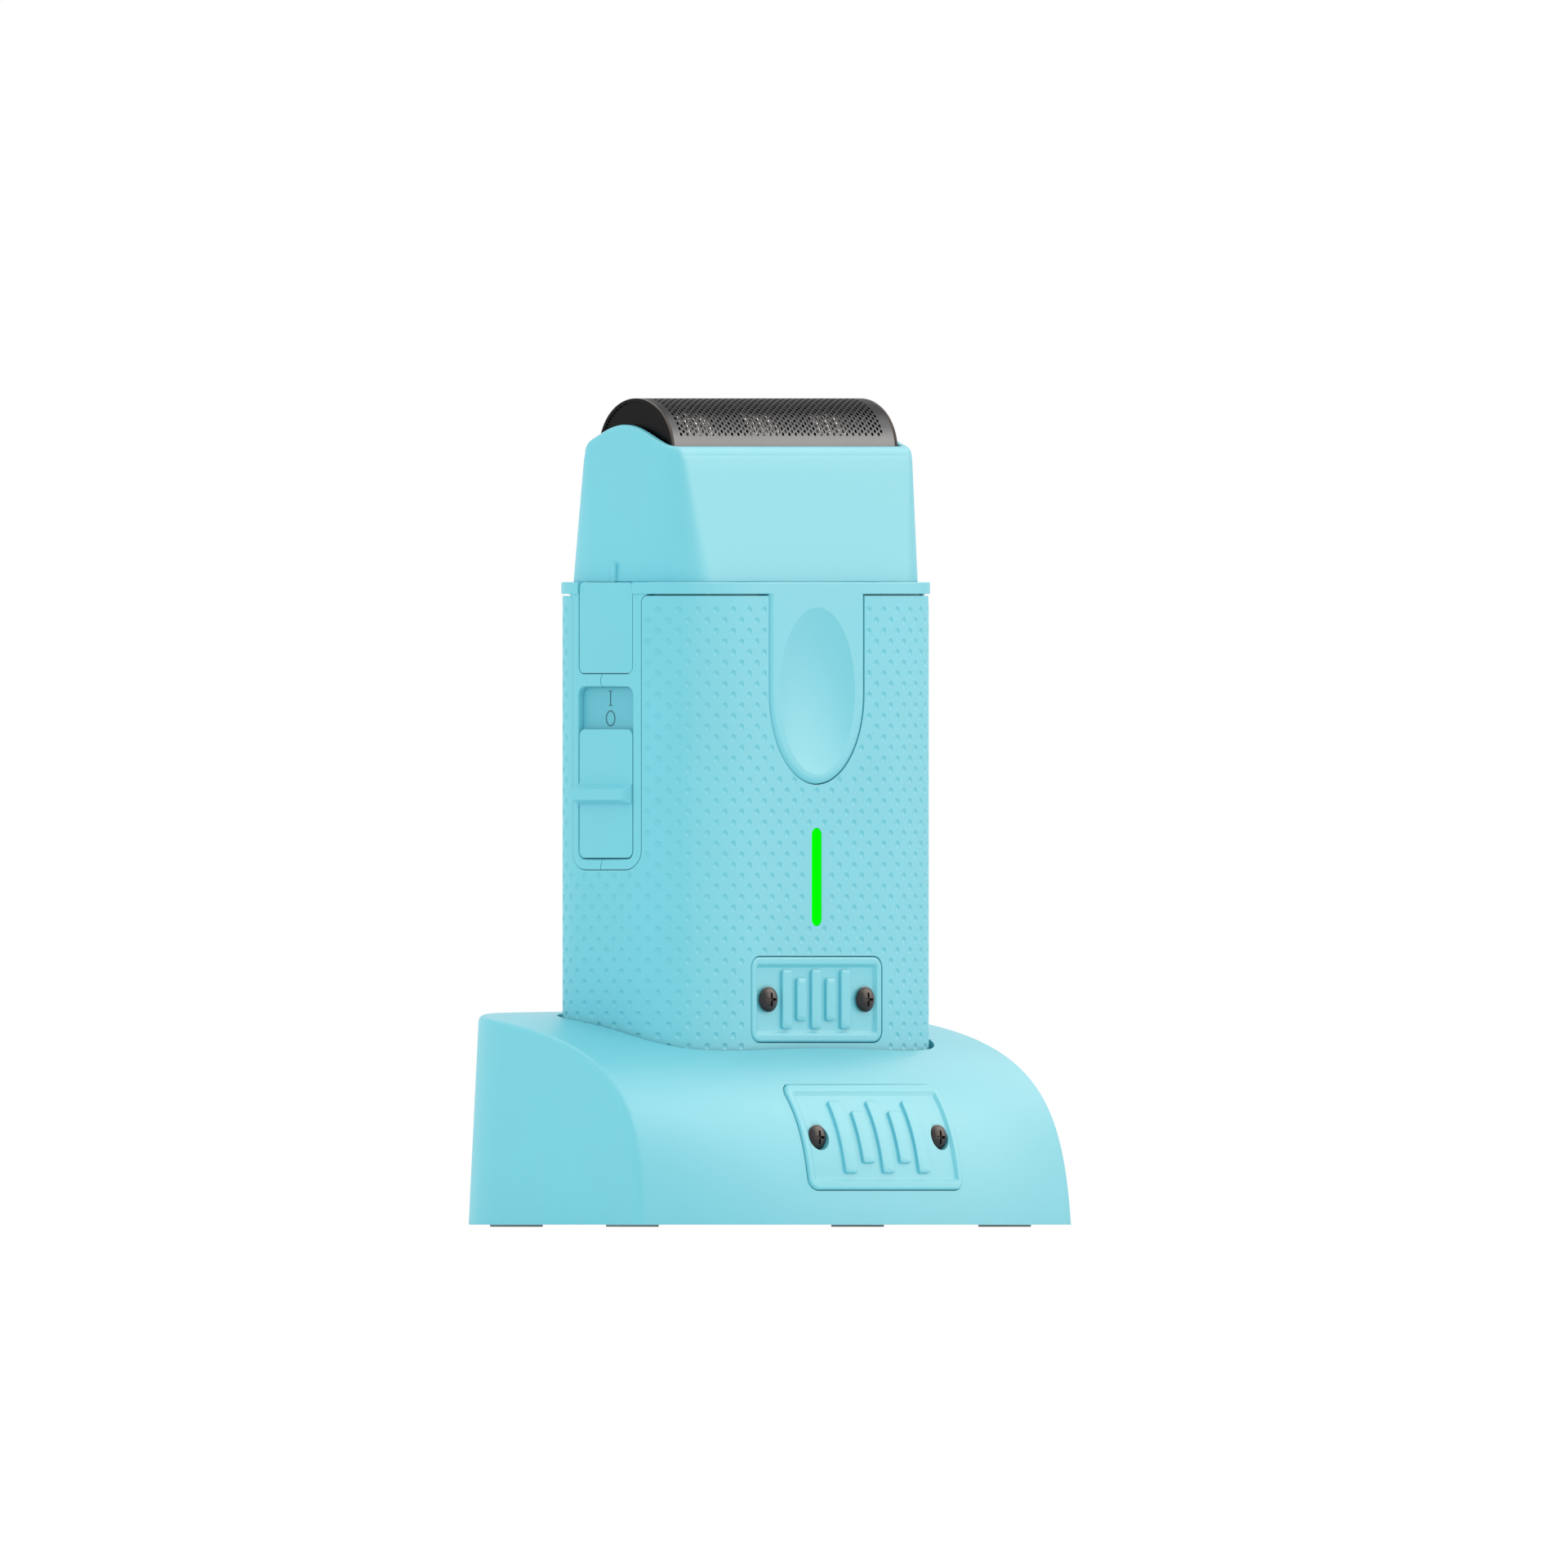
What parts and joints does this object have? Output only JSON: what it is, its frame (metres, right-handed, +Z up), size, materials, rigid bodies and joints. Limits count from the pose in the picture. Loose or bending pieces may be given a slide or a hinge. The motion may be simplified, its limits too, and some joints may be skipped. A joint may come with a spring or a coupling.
{
  "type": "foil shaver in charging dock",
  "caption": "Foil shaver with textured grip, side slide switch and head-release buttons, standing in a low curved charging dock.",
  "frame": {"origin": "on the surface the dock stands on, under the middle of the whole object's box", "axes": "+Z up; the front, with thumb rest, light and badges, faces -Y; +X to the right seen from the front"},
  "size_m": [0.0978, 0.054, 0.1319],
  "materials": {
    "aqua_plastic": "satin, smooth moulded",
    "aqua_grip": "soft-touch, dimpled",
    "black_plastic": "satin",
    "foot_rubber": "matt",
    "charge_light": "glowing light pipe",
    "foil_steel": "perforated, satin",
    "spring_steel": "bright wire",
    "motor_steel": "plated",
    "screw_black": "black oxide",
    "circuit_board": "solder mask",
    "contact_brass": "gold plated",
    "battery_sleeve": "shrink sleeve",
    "acetal": "natural"
  },
  "bodies": {
    "dock": {"dock_shell": "aqua_plastic", "dock_base_plate": "aqua_plastic", "dock_foot_1": "foot_rubber", "dock_foot_2": "foot_rubber", "dock_foot_3": "foot_rubber", "dock_foot_4": "foot_rubber", "base_screw_1": "screw_black", "base_screw_2": "screw_black", "base_screw_3": "screw_black", "base_screw_4": "screw_black", "dock_circuit_board": "circuit_board", "power_socket": "motor_steel", "dock_badge": "aqua_plastic", "dock_badge_screw_left": "screw_black", "dock_badge_screw_right": "screw_black", "charge_pin_spring_left": "spring_steel", "charge_pin_spring_right": "spring_steel"},
    "charge_pin_left": {"charge_pin_left": "contact_brass"},
    "charge_pin_right": {"charge_pin_right": "contact_brass"},
    "shaver": {"front_housing": "aqua_plastic", "rear_housing": "aqua_plastic", "grip_sleeve": "aqua_grip", "bottom_cap": "aqua_plastic", "charge_contact_left": "contact_brass", "charge_contact_right": "contact_brass", "body_badge": "aqua_plastic", "body_badge_screw_left": "screw_black", "body_badge_screw_right": "screw_black", "charge_light": "charge_light", "switch_plate": "aqua_plastic", "switch_body": "motor_steel", "battery": "battery_sleeve", "main_circuit_board": "circuit_board", "motor_can": "motor_steel", "motor_bracket": "black_plastic", "housing_screw_1": "screw_black", "housing_screw_2": "screw_black", "housing_screw_3": "screw_black", "housing_screw_4": "screw_black", "release_spring_left": "spring_steel", "release_spring_right": "spring_steel"},
    "power_slider": {"power_slider": "aqua_plastic", "switch_knob": "black_plastic"},
    "release_button_left": {"release_button_left": "aqua_plastic"},
    "release_button_right": {"release_button_right": "aqua_plastic"},
    "rotor": {"motor_shaft": "motor_steel", "eccentric_cam": "acetal"},
    "drive_bridge": {"drive_bridge": "acetal", "cutter_spring": "spring_steel"},
    "cutter": {"cutter_carrier": "acetal", "cutter_block": "foil_steel"},
    "head": {"head_frame": "aqua_plastic", "foil_spring_left": "spring_steel", "foil_spring_right": "spring_steel"},
    "foil_cassette": {"foil": "foil_steel", "foil_end_cap_left": "black_plastic", "foil_end_cap_right": "black_plastic", "cassette_frame": "black_plastic"}
  },
  "joints": [
    {"name": "shaver_lift", "type": "slide", "parent": "dock", "child": "shaver", "axis": [0, 0, 1], "range_m": [0, 0.035]},
    {"name": "charge_pin_left_press", "type": "slide", "parent": "dock", "child": "charge_pin_left", "axis": [0, 0, 1], "range_m": [-0.0008, 0], "stiffness_N_per_m": 300, "springref_m": 0.0008, "deforming": ["charge_pin_spring_left"]},
    {"name": "charge_pin_right_press", "type": "slide", "parent": "dock", "child": "charge_pin_right", "axis": [0, 0, 1], "range_m": [-0.0008, 0], "stiffness_N_per_m": 300, "springref_m": 0.0008, "deforming": ["charge_pin_spring_right"]},
    {"name": "power_slide", "type": "slide", "parent": "shaver", "child": "power_slider", "axis": [0, 0, 1], "range_m": [0, 0.0065]},
    {"name": "release_left_press", "type": "slide", "parent": "shaver", "child": "release_button_left", "axis": [1, 0, 0], "range_m": [0, 0.0012], "stiffness_N_per_m": 800, "springref_m": -0.001, "deforming": ["release_spring_left"]},
    {"name": "release_right_press", "type": "slide", "parent": "shaver", "child": "release_button_right", "axis": [-1, 0, 0], "range_m": [0, 0.0012], "stiffness_N_per_m": 800, "springref_m": -0.001, "deforming": ["release_spring_right"]},
    {"name": "motor_spin", "type": "hinge", "parent": "shaver", "child": "rotor", "pos_m": [0, 0.00595, 0.1], "axis": [0, 0, 1], "continuous": true},
    {"name": "cutter_oscillation", "type": "slide", "parent": "shaver", "child": "drive_bridge", "axis": [1, 0, 0], "range_m": [-0.001, 0.001], "stiffness_N_per_m": 400},
    {"name": "head_lift", "type": "slide", "parent": "shaver", "child": "head", "axis": [0, 0, 1], "range_m": [0, 0.035]},
    {"name": "foil_float", "type": "slide", "parent": "head", "child": "foil_cassette", "axis": [0, 0, 1], "range_m": [-0.001, 0], "stiffness_N_per_m": 600, "springref_m": 0.001, "deforming": ["foil_spring_left", "foil_spring_right"]},
    {"name": "cutter_float", "type": "slide", "parent": "drive_bridge", "child": "cutter", "axis": [0, 0, 1], "range_m": [-0.001, 0], "stiffness_N_per_m": 600, "springref_m": 0.001, "deforming": ["cutter_spring"]}
  ],
  "couplings": [
    {"joint": "cutter_float", "follows": "foil_float", "ratio": 1}
  ]
}
